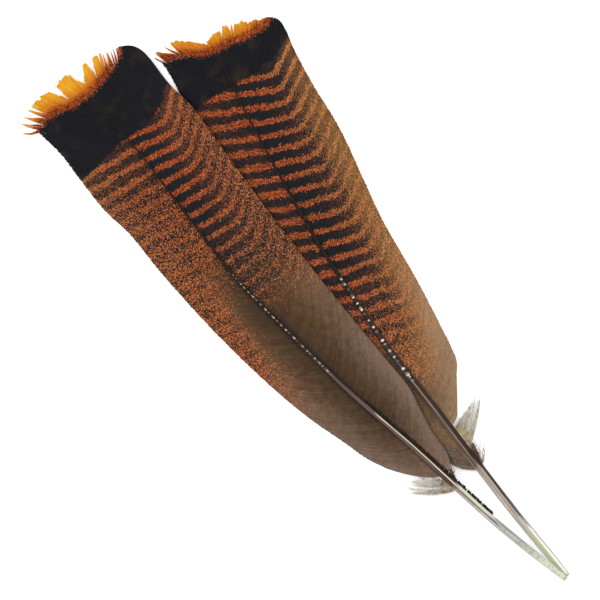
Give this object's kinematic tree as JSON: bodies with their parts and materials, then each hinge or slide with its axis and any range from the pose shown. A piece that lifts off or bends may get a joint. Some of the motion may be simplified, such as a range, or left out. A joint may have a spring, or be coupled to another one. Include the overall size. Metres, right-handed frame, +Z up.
{
  "type": "feather quill pair",
  "caption": "Large uncut barred tail feathers laid flat in a narrow V, quill ends together, one over the other, with black bands and rust fringes at the tips.",
  "frame": {"origin": "middle of the bounding box at the level of the surface the pair lies on", "axes": "+Y along the line between the two feathers, from quill ends to tips; +Z up from the surface, upper sides of the feathers up; +X across"},
  "size_m": [0.1258, 0.3382, 0.0083],
  "materials": {
    "horn": "satin",
    "membrane": "matte",
    "shaft": "satin",
    "pith": "matte",
    "vane_brown": "matte",
    "vane_barred": "matte",
    "vane_tip": "satin",
    "down": "matte"
  },
  "bodies": {
    "back_feather": {"back_calamus": "horn", "back_calamus_membrane": "membrane", "back_rachis_cortex": "shaft", "back_rachis_pith": "pith", "back_down_left": "down", "back_down_right": "down", "back_vane_left_1": "vane_brown", "back_vane_left_2": "vane_barred", "back_vane_left_3": "vane_barred", "back_vane_left_4": "vane_tip", "back_vane_right_1": "vane_brown", "back_vane_right_2": "vane_barred", "back_vane_right_3": "vane_barred", "back_vane_right_4": "vane_tip"},
    "front_feather": {"front_calamus": "horn", "front_calamus_membrane": "membrane", "front_rachis_cortex": "shaft", "front_rachis_pith": "pith", "front_down_left": "down", "front_down_right": "down", "front_vane_left_1": "vane_brown", "front_vane_left_2": "vane_barred", "front_vane_left_3": "vane_barred", "front_vane_left_4": "vane_tip", "front_vane_right_1": "vane_brown", "front_vane_right_2": "vane_barred", "front_vane_right_3": "vane_barred", "front_vane_right_4": "vane_tip"}
  },
  "joints": [
    {"name": "front_lift", "type": "slide", "parent": "back_feather", "child": "front_feather", "axis": [0, 0, 1], "range_m": [0, 0.05]}
  ]
}
